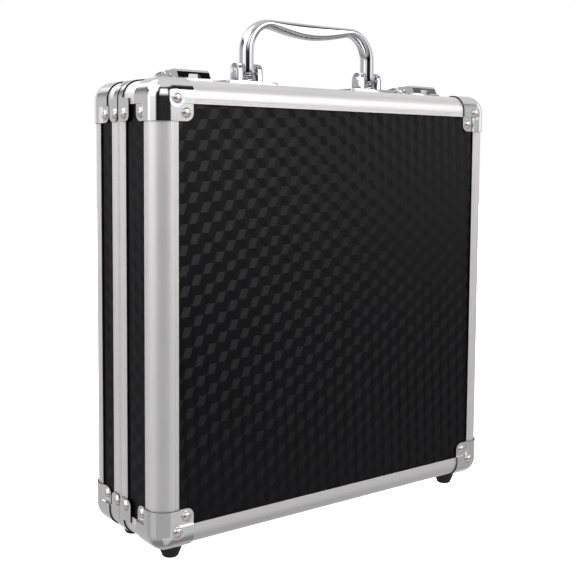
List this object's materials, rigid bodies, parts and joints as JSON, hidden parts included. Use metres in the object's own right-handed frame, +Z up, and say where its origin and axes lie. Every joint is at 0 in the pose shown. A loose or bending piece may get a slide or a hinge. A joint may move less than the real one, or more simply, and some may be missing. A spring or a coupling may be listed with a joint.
{
  "type": "billiard accessory case",
  "caption": "Upright framed carrying case in two hinged shells with padded ball cells, draw latches and a swing handle on top.",
  "frame": {"origin": "middle of the case's footprint on the floor, under the feet", "axes": "+Z up, +X across the case, -Y towards the face of the front shell, +Y towards the lid"},
  "size_m": [0.3152, 0.101, 0.3762],
  "materials": {
    "laminate": "satin laminate with a woven block pattern",
    "profile": "satin anodised",
    "corner": "brushed nickel plate",
    "chrome": "polished",
    "rubber": "matt",
    "foam": "matt flocked foam"
  },
  "bodies": {
    "base": {"base_face_panel": "laminate", "base_rim": "profile", "base_wall_top": "laminate", "base_wall_bottom": "laminate", "base_wall_right": "laminate", "base_wall_left": "laminate", "base_edge_top": "profile", "base_edge_bottom": "profile", "base_edge_right": "profile", "base_edge_left": "profile", "base_corner_top_right": "corner", "base_corner_top_left": "corner", "base_corner_bottom_right": "corner", "base_corner_bottom_left": "corner", "base_rim_bracket_top_right": "corner", "base_rim_bracket_top_left": "corner", "base_rim_bracket_bottom_right": "corner", "base_rim_bracket_bottom_left": "corner", "base_foot_right": "rubber", "base_foot_left": "rubber", "base_corner_profile_top_right": "profile", "base_corner_profile_top_left": "profile", "base_corner_profile_bottom_right": "profile", "base_corner_profile_bottom_left": "profile", "handle_bracket_right": "chrome", "latch_plate_right": "chrome", "handle_bracket_left": "chrome", "latch_plate_left": "chrome", "hinge_leaf_base": "profile", "base_foam_floor": "foam", "base_foam_grid": "foam"},
    "lid": {"lid_face_panel": "laminate", "lid_rim": "profile", "lid_wall_top": "laminate", "lid_wall_bottom": "laminate", "lid_wall_right": "laminate", "lid_wall_left": "laminate", "lid_edge_top": "profile", "lid_edge_bottom": "profile", "lid_edge_right": "profile", "lid_edge_left": "profile", "lid_corner_top_right": "corner", "lid_corner_top_left": "corner", "lid_corner_bottom_right": "corner", "lid_corner_bottom_left": "corner", "lid_rim_bracket_top_right": "corner", "lid_rim_bracket_top_left": "corner", "lid_rim_bracket_bottom_right": "corner", "lid_rim_bracket_bottom_left": "corner", "lid_foot_right": "rubber", "lid_foot_left": "rubber", "latch_catch_right": "chrome", "latch_catch_left": "chrome", "hinge_leaf_lid": "profile", "lid_foam_pad": "foam"},
    "handle": {"handle": "chrome"},
    "latch_lever_right": {"latch_lever_right": "chrome"},
    "latch_hook_right": {"latch_hook_right": "chrome"},
    "latch_lever_left": {"latch_lever_left": "chrome"},
    "latch_hook_left": {"latch_hook_left": "chrome"}
  },
  "joints": [
    {"name": "lid_hinge", "type": "hinge", "parent": "base", "child": "lid", "pos_m": [0, 0.004, 0.00855], "axis": [-1, 0, 0], "range_deg": [0, 105]},
    {"name": "handle_swing", "type": "hinge", "parent": "base", "child": "handle", "pos_m": [0, -0.007, 0.3372], "axis": [1, 0, 0], "range_deg": [-90, 90]},
    {"name": "lever_right", "type": "hinge", "parent": "base", "child": "latch_lever_right", "pos_m": [0.11, 0, 0.3312], "axis": [-1, 0, 0], "range_deg": [0, 100]},
    {"name": "hook_right", "type": "hinge", "parent": "latch_lever_right", "child": "latch_hook_right", "pos_m": [0.11, -0.008, 0.3306], "axis": [-1, 0, 0], "range_deg": [-100, 0]},
    {"name": "lever_left", "type": "hinge", "parent": "base", "child": "latch_lever_left", "pos_m": [-0.11, 0, 0.3312], "axis": [-1, 0, 0], "range_deg": [0, 100]},
    {"name": "hook_left", "type": "hinge", "parent": "latch_lever_left", "child": "latch_hook_left", "pos_m": [-0.11, -0.008, 0.3306], "axis": [-1, 0, 0], "range_deg": [-100, 0]}
  ],
  "couplings": [
    {"joint": "hook_right", "follows": "lever_right", "ratio": -1},
    {"joint": "hook_left", "follows": "lever_left", "ratio": -1}
  ]
}
